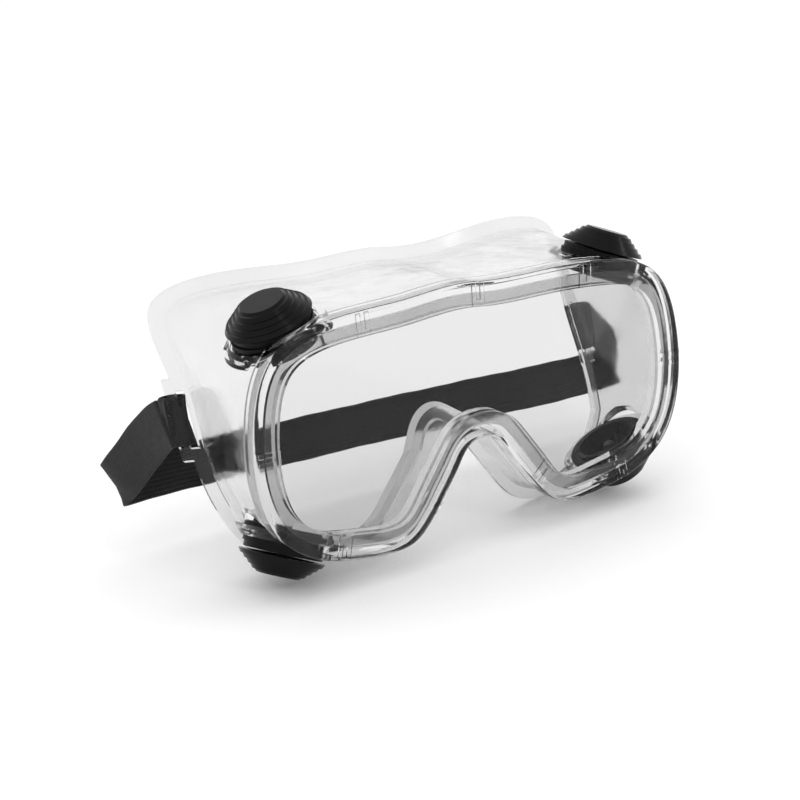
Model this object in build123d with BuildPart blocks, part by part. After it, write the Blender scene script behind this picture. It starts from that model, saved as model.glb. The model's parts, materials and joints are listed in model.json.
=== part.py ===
from build123d import *

# Chemical splash goggles: clear soft frame, flat lens, four capped vents and an elastic strap.
# X is to the right, Y runs back from the lens to the face, and Z is up from the table.

import os
from math import atan, atan2, cos, degrees, radians, sin, sqrt, tan

os.makedirs("parts", exist_ok=True)

# ---- frame and lens (mm) ----
rim_half_width = 78.5      # half the width of the front rim
rim_top = 41.0             # rim above the middle of the lens
rim_bottom = 37.0          # rim below the middle of the lens
rim_depth = 7.0            # front to back
band_width = 8.0           # visible band round the window
clip_width = 4.4           # small raised clips over the lens groove
clip_height = 0.5
lens_thickness = 1.8
lens_bite = 4.0            # how far the lens sits inside the band
lens_setback = 2.0         # from the front of the rim
slip = 0.05                # clearance round seated pieces

# ---- skirt that flares back to the face ----
front_y = -39.6            # front of the rim; depths below are measured from it
skirt_start = 5.0          # skirt leaves the rim at this depth
skirt_reach = 72.0         # depth of the full outline, before the face is cut away
skirt_inset = 1.0          # skirt sits inside the rim edge
wall = 1.8
rear_taper = 3.0           # the skirt is this much narrower at the back, each side
rear_top = 40.5
rear_bottom = 52.5
lip_width = 3.6            # lip turned outward round the face opening
lip_thickness = 1.8
cheek_rest = 29.26          # depth where the lip stands on the table, under each cheek

# ---- face form that shapes the rear edge ----
head_back = 240.0          # vertical axis of the head curve, behind the lens
brow_depth = 52.0          # rear edge at the brow, on the centre line
bridge_depth = 33.5        # at the middle of the lens
cheek_depth = 26.0         # at the cheeks

# ---- vents ----
vent_depth = 18.0          # vent centres behind the front of the rim
top_tilt = 20              # degrees the top vents lean outward
bottom_tilt = 25
neck_radius = 10.4         # seat's neck through the frame
neck_wall = 1.0
seat_lip = 2.5             # seat flange outside the neck
seat_flange = 1.4
seat_upstand = 3.2         # rim that the cap closes on
cap_overhang = 0.6         # cap outside the seat
cap_height = 6.0
cap_step = 1.5             # each step of the cap is this much smaller
cap_steps = 4
cap_draft = 0.85           # each step narrows by this much from foot to top
cap_brim = 2.7             # flat underside of the cap that meets the seat
cap_recess = 1.4
cap_travel = 0.8           # open to pressed shut
pad_margin = 0.9           # flat pad outside the seat
pad_thickness = 2.4
retainer_lip = 3.0         # retainer outside the neck
retainer_thickness = 2.0
retainer_room = 0.6
neck_tip = 0.8             # neck past the retainer
hub_radius = 3.6
hub_depth = 2.4
spoke_width = 1.8
stem_radius = 1.9
stem_slack = 0.2           # stem in the hub
stem_barb = 0.8            # snap bulb outside the stem

# ---- strap ----
strap_width = 16.0
strap_thickness = 1.5
ear_width = 4.4            # strap ears outside the skirt
slot_slack = 1.0           # strap in its slot
bar_width = 2.8
slot_rise = 2.5            # middle of the slots above the middle of the lens
tab_reach = 2.6            # stitched strap end past the ear
hoop_bulge = 24.1          # bends of the free loop outside the ears
hoop_clear = 27.0          # rear run behind the brow
hoop_drop = 24.0           # rear run below the slots
joint_gap = 0.3            # between the hoop and the fixed strap ends

FRONT_SHAPE = [
    (0.00, 1.00), (0.32, 0.98), (0.63, 0.95), (0.887, 0.77), (0.995, 0.25), (0.995, -0.21), (0.912, -0.66),
    (0.754, -0.90), (0.568, -0.99), (0.341, -0.97), (0.224, -0.72), (0.120, -0.41), (0.072, -0.28), (0.00, -0.23),
]
REAR_SHAPE = [
    (0.00, 1.00), (0.40, 1.00), (0.80, 0.99), (0.985, 0.86), (0.970, 0.30), (0.945, -0.16), (0.905, -0.53),
    (0.83, -0.80), (0.66, -1.02), (0.45, -1.00), (0.315, -0.64), (0.180, -0.33), (0.105, -0.16), (0.00, -0.06),
]

# ---- sizes that follow from those above ----
rear_half_width = rim_half_width - rear_taper
ear_reach = rear_half_width + ear_width
rest_share = (cheek_rest - skirt_start) / (skirt_reach - skirt_start)
table_drop = 0.99 * rim_bottom + rest_share * (1.02 * rear_bottom - 0.99 * rim_bottom) + lip_width
seat_radius = neck_radius + seat_lip
cap_radius = seat_radius + cap_overhang
pad_radius = seat_radius + pad_margin
retainer_radius = neck_radius + retainer_lip
slot_width = strap_thickness + slot_slack
strap_height = table_drop + slot_rise
hoop_reach = ear_reach + hoop_bulge
hoop_back = brow_depth + hoop_clear


def outline(shape, half_width, top, bottom, inset):
    """Right half of a closed outline, top centre to bottom centre, moved inward by inset."""
    points = [(u * half_width, v * (top if v > 0 else bottom)) for u, v in shape]
    before = [(-points[1][0], points[1][1])] + points[:-1]
    after = points[1:] + [(-points[-2][0], points[-2][1])]
    moved = []
    for (x0, z0), (x, z), (x1, z1) in zip(before, points, after):
        run, rise = x1 - x0, z1 - z0
        length = sqrt(run * run + rise * rise)
        moved.append((x + inset * rise / length, z - inset * run / length + table_drop))
    return moved


def front_outline(inset):
    return outline(FRONT_SHAPE, rim_half_width, rim_top, rim_bottom, inset)


def rear_outline(inset):
    return outline(REAR_SHAPE, rear_half_width, rear_top, rear_bottom, inset)


def outline_sketch(points, depth):
    """Closed face across the goggles at a depth, from the right half of its outline."""
    mirrored = [(-x, z) for x, z in reversed(points[1:-1])]
    with BuildSketch(Plane.XZ.offset(-front_y - depth)) as sketch:
        with BuildLine():
            Spline(*points, *mirrored, periodic=True)
        make_face()
    return sketch.sketch


def between(first, last, share):
    return [(a + (c - a) * share, b + (d - b) * share) for (a, b), (c, d) in zip(first, last)]


def face_form(forward):
    """Solid head shape behind the goggles, moved forward by a distance: a leaning brow and upright cheeks."""
    lean = (brow_depth - bridge_depth) / rim_top
    with BuildPart() as form:
        brow_axis = Plane(origin=(0, front_y + head_back - forward, table_drop), x_dir=(1, 0, 0), z_dir=(0, lean, 1))
        with BuildSketch(brow_axis.offset(-1.5 * head_back)):
            Circle((head_back - bridge_depth) * cos(atan(lean)))
        extrude(amount=3 * head_back)
        with BuildSketch(Plane.XY.offset(-60)):
            with Locations((0, front_y + head_back - forward)):
                Circle(head_back - cheek_depth)
        extrude(amount=240, mode=Mode.INTERSECT)
    return form.part


# hollow behind the rim, widening toward the face
front_inner = front_outline(skirt_inset + wall)
rear_inner = rear_outline(wall)
cavity_share = (rim_depth - skirt_start) / (skirt_reach - skirt_start)
with BuildPart() as cavity:
    cavity_start = outline_sketch(between(front_inner, rear_inner, cavity_share), rim_depth)
    loft([cavity_start, outline_sketch(rear_inner, skirt_reach)], ruled=True)

# lip round the face opening, with an ear on each side for the strap
ear_height = strap_width + 8
with BuildPart() as lip_block:
    lip_front = outline_sketch(front_outline(skirt_inset - lip_width), skirt_start)
    loft([lip_front, outline_sketch(rear_outline(-lip_width), skirt_reach)], ruled=True)
    with Locations((0, front_y + skirt_reach / 2, strap_height)):
        Box(2 * ear_reach, skirt_reach, ear_height)
    add(face_form(lip_thickness), mode=Mode.INTERSECT)


# ---- vent places: name, side, pad centre (x, y, z) and outward direction ----
vent_places = []
for side, side_name in ((-1, "left"), (1, "right")):
    top_way = (side * sin(radians(top_tilt)), -0.08, cos(radians(top_tilt)))
    top_centre = (side * 0.767 * rim_half_width, front_y + vent_depth, table_drop + 0.84 * rim_top)
    vent_places.append(("top_" + side_name, side, top_centre, top_way))
    bottom_way = (side * sin(radians(bottom_tilt)), -0.15, -cos(radians(bottom_tilt)))
    bottom_centre = (side * 0.80 * rim_half_width, front_y + vent_depth, table_drop - 0.86 * rim_bottom)
    vent_places.append(("bottom_" + side_name, side, bottom_centre, bottom_way))


def vent_plane(place):
    name, side, centre, way = place
    return Plane(origin=centre, x_dir=(0, 1, 0), z_dir=way)


# ---- frame body ----
slot_outer = ear_reach - bar_width
with BuildPart() as strap_slots:
    for slot_side in (-1, 1):
        with Locations((slot_side * (slot_outer - slot_width / 2), front_y + skirt_reach / 2, strap_height)):
            Box(slot_width, skirt_reach, strap_width + 0.8)
    add(face_form(lip_thickness + 0.5), mode=Mode.INTERSECT)


def band_spot(start, share):
    """Middle of the band part of the way between two outline points, and the turn of its outward side."""
    middle = front_outline(band_width / 2)
    (x0, z0), (x1, z1) = middle[start], middle[start + 1]
    turn = degrees(atan2(z0 - z1, x1 - x0)) if share else 0.0
    return x0 + (x1 - x0) * share, z0 + (z1 - z0) * share, turn


with BuildPart() as frame_body:
    extrude(outline_sketch(front_outline(0), 0), amount=-rim_depth)
    fillet(frame_body.faces().sort_by(Axis.Y)[0].edges(), radius=1.2)
    skirt_front = outline_sketch(front_outline(skirt_inset), skirt_start)
    loft([skirt_front, outline_sketch(rear_outline(0), skirt_reach)], ruled=True)
    add(lip_block.part)
    add(cavity.part, mode=Mode.SUBTRACT)
    add(face_form(0), mode=Mode.SUBTRACT)
    for place in vent_places:
        with BuildSketch(vent_plane(place).offset(-3.2)):
            Circle(pad_radius + 2.6)
        with BuildSketch(vent_plane(place)):
            Circle(pad_radius)
        loft()
        with BuildSketch(vent_plane(place)):
            Circle(pad_radius + 0.3)
        extrude(amount=6, mode=Mode.SUBTRACT)
        with BuildSketch(vent_plane(place).offset(-pad_thickness)):
            Circle(retainer_radius + retainer_room)
        extrude(amount=-6, mode=Mode.SUBTRACT)
        with BuildSketch(vent_plane(place).offset(-8)):
            Circle(neck_radius + slip)
        extrude(amount=12, mode=Mode.SUBTRACT)
    # window and the groove that holds the lens
    extrude(outline_sketch(front_outline(band_width), 0), amount=-rim_depth, mode=Mode.SUBTRACT)
    groove = outline_sketch(front_outline(band_width - lens_bite - slip), lens_setback - slip)
    extrude(groove, amount=-(lens_thickness + 2 * slip), mode=Mode.SUBTRACT)
    add(strap_slots.part, mode=Mode.SUBTRACT)
    # raised lens clips round the band
    for start, share in ((0, 0.0), (1, 0.65), (4, 0.45), (7, 0.4), (9, 0.95)):
        with BuildSketch(Plane.XZ.offset(-front_y)):
            for clip_side in (-1, 1):
                x, z, turn = band_spot(start, share)
                with Locations(Location((clip_side * x, z, 0), (0, 0, 1), -clip_side * turn)):
                    Rectangle(clip_width, band_width - 1.0)
                    with Locations((0, 0.9)):
                        Rectangle(clip_width / 3, band_width - 2.8, mode=Mode.SUBTRACT)
        extrude(amount=clip_height)
frame_body.part.label = "frame_body"
export_step(frame_body.part, "parts/frame_body.step")

with BuildPart() as lens:
    extrude(outline_sketch(front_outline(band_width - lens_bite), lens_setback), amount=-lens_thickness)
lens.part.label = "lens"
export_step(lens.part, "parts/lens.step")


# ---- vents: seat ring with hub, inner retainer, stepped cap on a snap stem ----
neck_end = pad_thickness + retainer_thickness + neck_tip
bore_radius = neck_radius - neck_wall
hub_bottom = seat_flange - hub_depth
brim_height = seat_upstand + cap_travel + slip
step_height = cap_height / (cap_steps + 0.6)
cap_top = brim_height + cap_height
barb_top = hub_bottom - slip
barb_height = 0.8


def ring(plane, outer, inner):
    """Flat ring on a plane, ready to extrude."""
    with BuildSketch(plane) as sketch:
        Circle(outer)
        Circle(inner, mode=Mode.SUBTRACT)
    return sketch.sketch


def disc(plane, radius):
    """Flat disc on a plane, ready to extrude or loft."""
    with BuildSketch(plane) as sketch:
        Circle(radius)
    return sketch.sketch


for place in vent_places:
    place_name = place[0]
    base = vent_plane(place)

    with BuildPart() as vent_seat:
        extrude(ring(base, seat_radius, bore_radius), amount=seat_flange)
        extrude(ring(base.offset(seat_flange), seat_radius - 0.6, bore_radius), amount=seat_upstand - seat_flange)
        extrude(ring(base.offset(-neck_end), neck_radius, bore_radius), amount=neck_end)
        with BuildSketch(base.offset(hub_bottom)):
            Circle(hub_radius)
            with Locations(Rot(0, 0, 45)):
                Rectangle(2 * bore_radius + neck_wall, spoke_width)
                Rectangle(spoke_width, 2 * bore_radius + neck_wall)
            Circle(stem_radius + stem_slack, mode=Mode.SUBTRACT)
        extrude(amount=hub_depth)
        # snap teeth outside the tip of the neck, behind the retainer
        with BuildSketch(base.offset(-neck_end)):
            with PolarLocations(neck_radius, 8):
                Rectangle(0.9, 2.6)
            Circle(neck_radius - 0.3, mode=Mode.SUBTRACT)
        extrude(amount=neck_tip - 0.1)
    vent_seat.part.label = "vent_seat_" + place_name
    export_step(vent_seat.part, "parts/vent_seat_" + place_name + ".step")

    with BuildPart() as vent_retainer:
        extrude(ring(base.offset(-pad_thickness), retainer_radius, neck_radius), amount=-retainer_thickness)
        outer_edges = vent_retainer.edges().filter_by(GeomType.CIRCLE).sort_by(SortBy.RADIUS)[-2:]
        chamfer(outer_edges, length=0.4)
        with BuildSketch(base.offset(-pad_thickness - retainer_thickness)):
            with PolarLocations(retainer_radius - retainer_lip / 2, 2, start_angle=40):
                Circle(0.7)
        extrude(amount=-0.9)
    vent_retainer.part.label = "vent_retainer_" + place_name
    export_step(vent_retainer.part, "parts/vent_retainer_" + place_name + ".step")

    with BuildPart() as vent_cap:
        for step in range(cap_steps + 1):
            foot = base.offset(brim_height + step * step_height)
            top = base.offset(min(brim_height + (step + 1) * step_height, cap_top))
            loft([disc(foot, cap_radius - step * cap_step), disc(top, cap_radius - step * cap_step - cap_draft)])
        extrude(disc(base.offset(brim_height), cap_radius - cap_brim), amount=cap_recess, mode=Mode.SUBTRACT)
        hollow = cap_radius - (cap_steps * 0.6 + 2) * cap_step
        hollow_top = base.offset(brim_height + cap_recess)
        extrude(disc(hollow_top, hollow), amount=0.3 * cap_height, mode=Mode.SUBTRACT)
        extrude(disc(base.offset(barb_top - 1.4), stem_radius), amount=brim_height + 0.62 * cap_height - barb_top + 1.4)
        extrude(disc(base.offset(barb_top - barb_height), stem_radius + stem_barb), amount=barb_height)
        barb_foot = disc(base.offset(barb_top - barb_height), stem_radius + stem_barb)
        loft([barb_foot, disc(base.offset(barb_top - 2.2), stem_radius - 0.4)])
    vent_cap.part.label = "vent_cap_" + place_name
    export_step(vent_cap.part, "parts/vent_cap_" + place_name + ".step")


# ---- strap: an end looped round each ear, stitched, and the free hoop behind ----
pivot_x = ear_reach + tab_reach
head_radius = (head_back - bridge_depth) - (strap_height - table_drop) * (brow_depth - bridge_depth) / rim_top
pivot_y = front_y + head_back - sqrt(head_radius ** 2 - ear_reach ** 2) + 1.5
lean_angle = degrees(atan((brow_depth - bridge_depth) / rim_top))
sleeve_height = strap_width - 0.6
tack_pitch = sleeve_height / 8
tack_lean = radians(-lean_angle * 0.6)

for side, side_name in ((-1, "left"), (1, "right")):
    with BuildPart() as bar:
        with Locations((side * (ear_reach - bar_width / 2), pivot_y, strap_height)):
            Box(bar_width, skirt_reach, strap_width + 8)
        add(face_form(lip_thickness), mode=Mode.INTERSECT)
        add(face_form(0), mode=Mode.SUBTRACT)

    with BuildPart() as strap_tack:
        with Locations((side * (ear_reach + tab_reach / 2), pivot_y - 0.7, strap_height)):
            for row in range(-3, 4):
                with Locations((0, -row * tack_pitch * tan(tack_lean), row * tack_pitch)):
                    Box(tab_reach / 2, 2 * strap_thickness + 1.4, 0.6)
    strap_tack.part.label = "strap_tack_" + side_name
    export_step(strap_tack.part, "parts/strap_tack_" + side_name + ".step")

    with BuildPart() as strap_end:
        with Locations((side * (slot_outer - strap_thickness + 0.6 + pivot_x) / 2, pivot_y, strap_height)):
            Box(pivot_x - slot_outer + strap_thickness - 0.6, skirt_reach, sleeve_height)
        add(face_form(lip_thickness + strap_thickness), mode=Mode.INTERSECT)
        add(face_form(-strap_thickness), mode=Mode.SUBTRACT)
        with Locations((side * (ear_reach + strap_thickness + 10), pivot_y, strap_height)):
            Box(20, skirt_reach, strap_width + 2, mode=Mode.SUBTRACT)
        add(bar.part, mode=Mode.SUBTRACT)
        root_plane = Plane(origin=(side * (ear_reach + 0.4), pivot_y - 1.6, strap_height), x_dir=(0, 1, 0),
                           z_dir=(side, 0, 0))
        tip_plane = Plane(origin=(side * pivot_x, pivot_y, strap_height), x_dir=(0, 1, 0), z_dir=(side, 0, 0))
        with BuildSketch(root_plane):
            Rectangle(2 * strap_thickness, sleeve_height, rotation=-side * lean_angle)
        with BuildSketch(tip_plane):
            Rectangle(2 * strap_thickness, sleeve_height, rotation=-side * lean_angle * 0.5)
        loft()
        add(strap_tack.part, mode=Mode.SUBTRACT)
    strap_end.part.label = "strap_end_" + side_name
    export_step(strap_end.part, "parts/strap_end_" + side_name + ".step")

with BuildPart() as strap_hoop:
    start_x = pivot_x + joint_gap
    hoop_y = front_y + hoop_back
    with BuildLine() as hoop_path:
        FilletPolyline(
            (-start_x, pivot_y), (-hoop_reach - 4, pivot_y + 11), (-hoop_reach + 3, hoop_y),
            (hoop_reach - 3, hoop_y), (hoop_reach + 4, pivot_y + 11), (start_x, pivot_y), radius=6,
        )
    with BuildSketch(Plane(origin=hoop_path.line @ 0, z_dir=hoop_path.line % 0, x_dir=(0, 0, 1))):
        Rectangle(140, strap_thickness)
    sweep(path=hoop_path.line)
    with BuildSketch(Plane.YZ) as hoop_band:
        half = strap_width / 2
        low = strap_height - hoop_drop
        flat = 3.0
        with BuildLine():
            Polyline(
                (pivot_y - 20, strap_height + half), (pivot_y + flat, strap_height + half),
                (hoop_y - flat, low + half), (hoop_y + 20, low + half), (hoop_y + 20, low - half),
                (hoop_y - flat - 4, low - half), (pivot_y + flat - 4, strap_height - half),
                (pivot_y - 20, strap_height - half), close=True,
            )
        make_face()
    extrude(hoop_band.sketch, amount=160, both=True, mode=Mode.INTERSECT)
    with Locations((0, pivot_y, strap_height)):
        Box(2 * start_x, 20, 80, mode=Mode.SUBTRACT)
strap_hoop.part.label = "strap_hoop"
export_step(strap_hoop.part, "parts/strap_hoop.step")
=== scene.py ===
"""Looks for the splash goggles: camera, studio, materials, and the woven strap with its sewn ends.

Frame, lens and vents keep their CAD shape. Lengths are in metres unless a name or comment says millimetres.
"""
import json
import math

import bmesh
import bpy
from mathutils import Matrix, Vector


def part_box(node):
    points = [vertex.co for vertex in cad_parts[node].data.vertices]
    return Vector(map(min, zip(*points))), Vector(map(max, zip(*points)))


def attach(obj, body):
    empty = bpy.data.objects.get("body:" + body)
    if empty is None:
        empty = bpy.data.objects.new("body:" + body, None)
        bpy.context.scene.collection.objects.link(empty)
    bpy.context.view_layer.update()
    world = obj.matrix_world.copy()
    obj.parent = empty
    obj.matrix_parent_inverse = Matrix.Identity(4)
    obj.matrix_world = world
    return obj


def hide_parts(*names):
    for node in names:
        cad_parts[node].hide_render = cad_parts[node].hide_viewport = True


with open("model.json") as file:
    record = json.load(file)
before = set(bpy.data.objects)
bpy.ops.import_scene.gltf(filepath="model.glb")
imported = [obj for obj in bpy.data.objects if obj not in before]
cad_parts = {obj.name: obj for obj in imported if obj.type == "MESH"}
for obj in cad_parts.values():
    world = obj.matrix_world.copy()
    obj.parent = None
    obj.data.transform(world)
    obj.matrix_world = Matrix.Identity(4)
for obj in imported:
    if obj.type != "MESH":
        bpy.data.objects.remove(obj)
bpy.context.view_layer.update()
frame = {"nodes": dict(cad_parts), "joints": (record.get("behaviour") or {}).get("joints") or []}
nodes = frame["nodes"]
MM = 0.001
SINE_TURN = 6.2832         # one full period of a sine, in radians
ACROSS_THREAD_PITCH = 0.55  # fine threads across the webbing, millimetres

# ---------------------------------------------------------------- camera
scene = bpy.context.scene
camera_data = bpy.data.cameras.new("camera")
camera = bpy.data.objects.new("camera", camera_data)
scene.collection.objects.link(camera)
camera_data.sensor_width = 36.0
camera_data.lens = 76.45
camera_data.clip_start = 0.01
right = Vector((0.8455, -0.5298, -0.0670))
up = Vector((0.2090, 0.2129, 0.9544))
back = Vector((-0.4914, -0.8210, 0.2908))
place = Matrix((right, up, back)).transposed().to_4x4()
place.translation = Vector((-0.2767, -0.4524, 0.2027))
camera.matrix_world = place
scene.camera = camera

# ---------------------------------------------------------------- studio
scene.view_settings.view_transform = "Standard"
world = bpy.data.worlds.new("studio")
scene.world = world
world.use_nodes = True
background = world.node_tree.nodes["Background"]
background.inputs["Color"].default_value = (1.0, 1.0, 1.0, 1.0)
background.inputs["Strength"].default_value = 1.04
LIGHT_TARGET = Vector((0, 0, 0.05))


def area_light(name, location, size, power):
    """Area light aimed at the middle of the goggles. Size in metres, power in watts."""
    data = bpy.data.lights.new(name, "AREA")
    data.shape = "RECTANGLE"
    data.size, data.size_y = size
    data.energy = power
    light = bpy.data.objects.new(name, data)
    light.location = location
    aim = LIGHT_TARGET - Vector(location)
    light.rotation_euler = aim.to_track_quat("-Z", "Y").to_euler()
    scene.collection.objects.link(light)


area_light("key_front", (0.10, -1.00, 0.62), (0.09, 0.09), 1.1)
area_light("key_left", (-0.70, -0.60, 0.75), (0.12, 0.16), 0.5)
area_light("top_soft", (0.1, 0.25, 1.1), (0.9, 0.9), 0.8)
area_light("fill_right", (0.8, -0.5, 0.6), (0.12, 0.2), 0.4)


# ---------------------------------------------------------------- node helpers
def new_material(name):
    material = bpy.data.materials.new(name)
    material.use_nodes = True
    return material, material.node_tree, material.node_tree.nodes["Principled BSDF"]


def link(tree, source, target):
    tree.links.new(source, target)


def noise(tree, scale, detail=3.0):
    """Cloud value over the object's own coordinates."""
    coordinates = tree.nodes.new("ShaderNodeTexCoord")
    texture = tree.nodes.new("ShaderNodeTexNoise")
    texture.inputs["Scale"].default_value = scale
    texture.inputs["Detail"].default_value = detail
    link(tree, coordinates.outputs["Object"], texture.inputs["Vector"])
    return texture.outputs["Fac"]


def map_range(tree, source, low, high, start=0.3, end=0.7):
    node = tree.nodes.new("ShaderNodeMapRange")
    node.inputs["From Min"].default_value = start
    node.inputs["From Max"].default_value = end
    node.inputs["To Min"].default_value = low
    node.inputs["To Max"].default_value = high
    link(tree, source, node.inputs["Value"])
    return node.outputs["Result"]


def math_node(tree, operation, first, second):
    node = tree.nodes.new("ShaderNodeMath")
    node.operation = operation
    for socket, value in zip(node.inputs, (first, second)):
        if isinstance(value, (int, float)):
            socket.default_value = value
        else:
            link(tree, value, socket)
    return node.outputs["Value"]


def bump(tree, shader, height, strength, distance, after=None):
    node = tree.nodes.new("ShaderNodeBump")
    node.inputs["Strength"].default_value = strength
    node.inputs["Distance"].default_value = distance
    link(tree, height, node.inputs["Height"])
    if after:
        link(tree, after.outputs["Normal"], node.inputs["Normal"])
    link(tree, node.outputs["Normal"], shader.inputs["Normal"])
    return node


def colour_mix(tree, factor, first, second):
    node = tree.nodes.new("ShaderNodeMix")
    node.data_type = "RGBA"
    node.inputs["A"].default_value = (*first, 1)
    node.inputs["B"].default_value = (*second, 1)
    link(tree, factor, node.inputs["Factor"])
    return node.outputs["Result"]


def grey(value):
    return (value, value, value)


# ---------------------------------------------------------------- materials
def floor_material():
    material, _, shader = new_material("studio_floor")
    shader.inputs["Base Color"].default_value = (1.0, 1.0, 1.0, 1)
    shader.inputs["Roughness"].default_value = 1.0
    shader.inputs["Specular IOR Level"].default_value = 0.0
    return material


def clear_vinyl():
    """Soft clear PVC: slightly grey, a little frosted, with the faint waviness of a moulded skin."""
    material, tree, shader = new_material("clear_vinyl")
    shader.inputs["Transmission Weight"].default_value = 1.0
    shader.inputs["IOR"].default_value = 1.30
    cloud = map_range(tree, noise(tree, 38.0, 3.0), 0, 1)
    link(tree, colour_mix(tree, cloud, grey(0.74), grey(0.80)), shader.inputs["Base Color"])
    link(tree, map_range(tree, noise(tree, 160.0, 3.0), 0.05, 0.14), shader.inputs["Roughness"])
    ripple = bump(tree, shader, noise(tree, 55.0, 2.0), 0.10, 0.0015)
    bump(tree, shader, noise(tree, 420.0, 3.0), 0.06, 0.0003, after=ripple)
    return material


def clear_lens():
    """Polished clear sheet with the faintest handling marks."""
    material, tree, shader = new_material("clear_sheet")
    shader.inputs["Transmission Weight"].default_value = 1.0
    shader.inputs["IOR"].default_value = 1.22
    link(tree, colour_mix(tree, noise(tree, 20.0), grey(0.71), grey(0.74)), shader.inputs["Base Color"])
    scratch_place = tree.nodes.new("ShaderNodeTexCoord")
    stretch = tree.nodes.new("ShaderNodeMapping")
    stretch.inputs["Scale"].default_value = (60.0, 60.0, 900.0)
    stretch.inputs["Rotation"].default_value = (0.0, 0.6, 0.0)
    link(tree, scratch_place.outputs["Object"], stretch.inputs["Vector"])
    marks = tree.nodes.new("ShaderNodeTexNoise")
    marks.inputs["Scale"].default_value = 1.0
    link(tree, stretch.outputs["Vector"], marks.inputs["Vector"])
    link(tree, map_range(tree, marks.outputs["Fac"], 0.0, 0.05, 0.62, 0.8), shader.inputs["Roughness"])
    return material


def black_plastic(name, base, rough, level):
    """Moulded black plastic: fine mould texture and small changes of tone and gloss."""
    material, tree, shader = new_material(name)
    tone = colour_mix(tree, map_range(tree, noise(tree, 300.0), 0, 1), grey(base * 0.7), grey(base * 1.5))
    link(tree, tone, shader.inputs["Base Color"])
    gloss = map_range(tree, noise(tree, 140.0, 5.0), rough * 0.75, rough * 1.5)
    link(tree, gloss, shader.inputs["Roughness"])
    shader.inputs["Specular IOR Level"].default_value = level
    coarse = bump(tree, shader, noise(tree, 260.0, 2.0), 0.10, 0.0004)
    bump(tree, shader, noise(tree, 1500.0, 3.0), 0.08, 0.0001, after=coarse)
    return material


def webbing(name, base, pitch, slant, depth):
    """Woven elastic: ribs at a pitch in millimetres, slanting along the tape, crossed by finer threads."""
    material, tree, shader = new_material(name)
    place = tree.nodes.new("ShaderNodeUVMap")
    place.uv_map = "tape"
    split = tree.nodes.new("ShaderNodeSeparateXYZ")
    link(tree, place.outputs["UV"], split.inputs["Vector"])
    along, across = split.outputs["X"], split.outputs["Y"]
    wobble = math_node(tree, "MULTIPLY", noise(tree, 220.0, 2.0), 0.5)
    slanted = math_node(tree, "MULTIPLY", along, slant)
    lean = math_node(tree, "ADD", slanted, math_node(tree, "ADD", across, wobble))
    rib = math_node(tree, "SINE", math_node(tree, "MULTIPLY", lean, SINE_TURN / pitch), 0.0)
    thread = math_node(tree, "SINE", math_node(tree, "MULTIPLY", along, SINE_TURN / ACROSS_THREAD_PITCH), 0.0)
    cloth = math_node(tree, "ADD", rib, math_node(tree, "MULTIPLY", thread, 0.45))
    ridges = map_range(tree, cloth, 0, 1, -1.2, 1.2)
    tone = colour_mix(tree, ridges, grey(base * 0.6), grey(base * 1.3))
    worn = colour_mix(tree, map_range(tree, noise(tree, 45.0, 4.0), 0, 1), grey(0.75), grey(1.2))
    blend = tree.nodes.new("ShaderNodeMix")
    blend.data_type = "RGBA"
    blend.blend_type = "MULTIPLY"
    blend.inputs["Factor"].default_value = 1.0
    link(tree, tone, blend.inputs["A"])
    link(tree, worn, blend.inputs["B"])
    link(tree, blend.outputs["Result"], shader.inputs["Base Color"])
    link(tree, map_range(tree, noise(tree, 500.0), 0.75, 0.95), shader.inputs["Roughness"])
    shader.inputs["Specular IOR Level"].default_value = 0.18
    shader.inputs["Sheen Weight"].default_value = 0.08
    shader.inputs["Sheen Roughness"].default_value = 0.6
    weave = bump(tree, shader, cloth, 0.55, depth)
    bump(tree, shader, noise(tree, 2600.0, 2.0), 0.35, 0.00012, after=weave)
    return material


VINYL = clear_vinyl()
SHEET = clear_lens()
CAP = black_plastic("black_gloss_cap", 0.002, 0.20, 0.12)
SEAT = black_plastic("black_seat", 0.003, 0.34, 0.10)
FACE_WEB = webbing("webbing_outer", 0.024, 0.62, 0.8, 0.00006)
# inner face: its own coarser, straight rib, plus a darker base tone that is painted shade, as if the inner face
# were shadowed
SHADED_BACK_WEB = webbing("webbing_inner_painted_shade", 0.009, 1.5, 0.0, 0.00016)
THREAD = black_plastic("sewing_thread", 0.030, 0.7, 0.2)


def dress(name, material):
    node = nodes[name]
    node.data.materials.clear()
    node.data.materials.append(material)


dress("frame_body", VINYL)
dress("lens", SHEET)
for name in nodes:
    if name.startswith("vent_seat") or name.startswith("vent_retainer"):
        dress(name, SEAT)
    if name.startswith("vent_cap"):
        dress(name, CAP)


# ---------------------------------------------------------------- strap
def smooth_path(points, step):
    """Catmull-Rom line through control points, each a position and a width direction, at an even step."""
    padded = [points[0]] + points + [points[-1]]
    fine = []
    for a, b, c, d in zip(padded, padded[1:], padded[2:], padded[3:]):
        count = max(2, int((Vector(c[0]) - Vector(b[0])).length / (step * 0.25)))
        for index in range(count):
            t = index / count
            weights = (
                -t + 2 * t * t - t ** 3,
                2 - 5 * t * t + 3 * t ** 3,
                t + 4 * t * t - 3 * t ** 3,
                t ** 3 - t * t,
            )
            fine.append([
                sum((Vector(p[k]) * w * 0.5 for p, w in zip((a, b, c, d), weights)), Vector())
                for k in (0, 1)
            ])
    fine.append([Vector(points[-1][0]), Vector(points[-1][1])])
    line, travelled, last = [fine[0]], 0.0, fine[0][0]
    for position, width in fine[1:]:
        travelled += (position - last).length
        last = position
        if travelled >= step:
            line.append([position, width])
            travelled = 0.0
    if (line[-1][0] - fine[-1][0]).length > step * 0.3:
        line.append(fine[-1])
    else:
        line[-1] = fine[-1]
    return line


TAPE_COLUMNS = 14      # quads across each face of the tape
EDGE_ROLL = (60, 20, -20, -60)                 # degrees round the right edge
FAR_EDGE_ROLL = (-120, -160, 160, 120)         # degrees round the left edge


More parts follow.
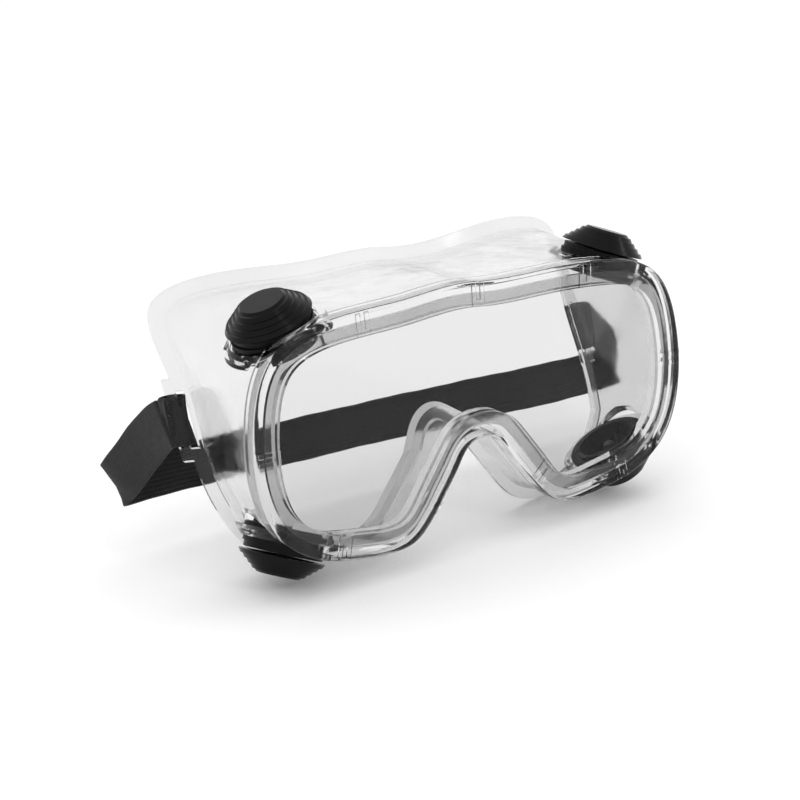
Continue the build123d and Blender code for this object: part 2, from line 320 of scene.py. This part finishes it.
def tape(name, points, width, thickness, body, replaces, step=1.0):
    """Woven tape with rolled edges along a path in millimetres, outer face on the side of width x tangent."""
    line = smooth_path(points, step)
    columns = TAPE_COLUMNS
    half, thick = width / 2, thickness / 2
    edge = thick * 0.9
    profile = []
    for index in range(columns + 1):
        v = -half + edge + (width - 2 * edge) * index / columns
        profile.append((v, thick + 0.10 * math.cos(v / half * 1.4)))
    for angle in map(math.radians, EDGE_ROLL):
        profile.append((half - edge + edge * math.cos(angle), thick * math.sin(angle)))
    for index in range(columns + 1):
        v = half - edge - (width - 2 * edge) * index / columns
        profile.append((v, -thick - 0.04 * math.cos(v / half * 1.4)))
    for angle in map(math.radians, FAR_EDGE_ROLL):
        profile.append((-half + edge + edge * math.cos(angle), thick * math.sin(angle)))
    mesh = bpy.data.meshes.new(name)
    shape = bmesh.new()
    layer = shape.loops.layers.uv.new("tape")
    rows, lengths, length = [], [], 0.0
    for index, (position, across) in enumerate(line):
        before = line[max(index - 1, 0)][0]
        after = line[min(index + 1, len(line) - 1)][0]
        tangent = (after - before).normalized()
        across = (across - tangent * across.dot(tangent)).normalized()
        outward = across.cross(tangent).normalized()
        if index:
            length += (position - line[index - 1][0]).length
        lengths.append(length)
        wave = 0.10 * math.sin(length / 5.3) + 0.06 * math.sin(length / 2.1 + 1)
        row = []
        for v, w in profile:
            row.append(shape.verts.new((position + across * (v + wave * v / half) + outward * w) * MM))
        rows.append(row)
    size = len(profile)
    for index in range(len(rows) - 1):
        for k in range(size):
            n = (k + 1) % size
            corners = (rows[index][k], rows[index][n], rows[index + 1][n], rows[index + 1][k])
            face = shape.faces.new(corners)
            face.smooth = True
            # faces on the inner side of the tape take the webbing whose darker tone is painted shade
            face.material_index = 1 if columns + 3 <= k <= 2 * columns + 5 else 0
            places = ((index, k), (index, n), (index + 1, n), (index + 1, k))
            for loop, (r, c) in zip(face.loops, places):
                loop[layer].uv = (lengths[r], profile[c][0])
    for row, flip in ((rows[0], True), (rows[-1], False)):
        face = shape.faces.new(list(reversed(row)) if not flip else row)
        face.material_index = 0
    bmesh.ops.recalc_face_normals(shape, faces=shape.faces)
    shape.to_mesh(mesh)
    shape.free()
    mesh.materials.append(FACE_WEB)
    mesh.materials.append(SHADED_BACK_WEB)
    piece = bpy.data.objects.new(name, mesh)
    scene.collection.objects.link(piece)
    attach(piece, body)
    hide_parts(*replaces)


def direction(lean):
    """Width direction leaning back by an angle in degrees."""
    return (0.0, math.sin(math.radians(lean)), math.cos(math.radians(lean)))


# the hinge and the outer end of the sewn tabs, in millimetres
swing = [joint for joint in frame["joints"] if joint["name"] == "strap_swing"][0]
hinge_y, hinge_z = swing["pos_m"][1] / MM, swing["pos_m"][2] / MM
tab_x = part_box("strap_end_right")[1][0] / MM

# free loop, from the left ear round behind the frame to the right ear
hoop_points = [
    ((-tab_x - 0.3, hinge_y, hinge_z), direction(12)),
    ((-84.0, 16.4, 46.4), (-0.16, 0.34, 0.93)),
    ((-86.0, 23.0, 40.4), (-0.32, 0.46, 0.83)),
    ((-88.8, 29.4, 33.2), (-0.38, 0.42, 0.82)),
    ((-91.4, 34.4, 27.2), (-0.38, 0.34, 0.86)),
    ((-91.2, 37.8, 24.8), (-0.38, 0.24, 0.89)),
    ((-86.8, 39.0, 24.2), (-0.32, 0.14, 0.94)),
    ((-76.0, 38.9, 24.2), (-0.18, 0.06, 0.98)),
    ((-60.0, 38.7, 24.1), direction(0)),
    ((-36.0, 38.6, 24.0), direction(-1)),
    ((0.0, 38.6, 23.6), direction(0)),
    ((40.0, 38.8, 22.6), direction(1)),
    ((76.0, 39.0, 21.4), direction(2)),
    ((96.0, 38.9, 21.2), (0.03, 0.04, 1.0)),
    ((107.2, 36.6, 22.8), (0.12, 0.10, 0.98)),
    ((108.6, 32.4, 27.0), (0.28, 0.28, 0.91)),
    ((103.0, 26.6, 33.4), (0.32, 0.38, 0.86)),
    ((93.0, 20.6, 41.2), (0.22, 0.36, 0.90)),
    ((85.6, 15.0, 46.8), (0.06, 0.28, 0.95)),
    ((tab_x + 0.3, hinge_y, hinge_z), direction(12)),
]
tape("elastic_loop", hoop_points, 15.6, 1.4, "hoop", ["strap_hoop"])

# each fixed end: round the ear bar and back on itself, in line with the lean of the lip (x, y, lean in degrees)
EAR_Y = 12.7                   # depth of the ear's middle that these points are drawn around
STITCH_ROWS = 9                # rows above and below the middle
STITCH_PITCH = 0.74
STITCH_X = 81.25
LAYER_FACES = (11.25, 14.25)   # depth of the sewing on the front and the back layer
THREAD_LEAN = 15               # degrees
STITCH_BULGE = ((0.0, 0.05), (0.12, 0.17), (0.5, 0.21), (0.88, 0.17), (1.0, 0.05))   # share of length, radius
end_points = [
    (82.5, 12.1, 12), (80.9, 12.2, 20), (79.0, 11.5, 24), (77.4, 10.7, 24), (76.3, 11.0, 24), (76.1, 12.2, 24),
    (76.4, 13.5, 24), (77.7, 14.3, 24), (79.4, 15.0, 24), (81.0, 14.5, 20), (82.5, 13.4, 12),
]


def stitches(name, side, body, replaces):
    """Zigzag sewing through both layers, just outside the ear, each stitch a rounded bar of thread."""
    mesh = bpy.data.meshes.new(name)
    shape = bmesh.new()
    for row in range(-STITCH_ROWS, STITCH_ROWS + 1):
        height = row * STITCH_PITCH
        lean = math.tan(math.radians(THREAD_LEAN)) * height
        slant = 0.55 if row % 2 else -0.55
        for depth in LAYER_FACES:
            y = hinge_y + depth - EAR_Y + lean
            ends = [Vector((side * (STITCH_X + k * slant), y, hinge_z + height + k * 0.34)) for k in (-1, 1)]
            axis = (ends[1] - ends[0]).normalized()
            wide = axis.cross(Vector((0, 1, 0))).normalized()
            deep = axis.cross(wide)
            rings = []
            for share, radius in STITCH_BULGE:
                centre = ends[0].lerp(ends[1], share)
                turns = [k * math.pi / 4 for k in range(8)]
                around = [wide * math.cos(turn) + deep * math.sin(turn) for turn in turns]
                rings.append([shape.verts.new((centre + spoke * radius) * MM) for spoke in around])
            for first, second in zip(rings, rings[1:]):
                for k in range(8):
                    n = (k + 1) % 8
                    shape.faces.new((first[k], first[n], second[n], second[k])).smooth = True
            shape.faces.new(rings[0])
            shape.faces.new(rings[-1])
    bmesh.ops.recalc_face_normals(shape, faces=shape.faces)
    shape.to_mesh(mesh)
    shape.free()
    mesh.materials.append(THREAD)
    piece = bpy.data.objects.new(name, mesh)
    scene.collection.objects.link(piece)
    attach(piece, body)
    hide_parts(replaces)


for side, side_name in ((-1, "left"), (1, "right")):
    around = [((side * x, y - EAR_Y + hinge_y, hinge_z), direction(lean)) for x, y, lean in end_points]
    if side < 0:
        around.reverse()
    tape("elastic_end_" + side_name, around, 15.4, 1.25, "root", ["strap_end_" + side_name], step=0.5)
    stitches("sewing_" + side_name, side, "root", "strap_tack_" + side_name)

bpy.ops.mesh.primitive_plane_add(size=8.0, location=(0, 0, 0))
floor = bpy.context.object
floor.name = "floor"
floor.data.materials.append(floor_material())
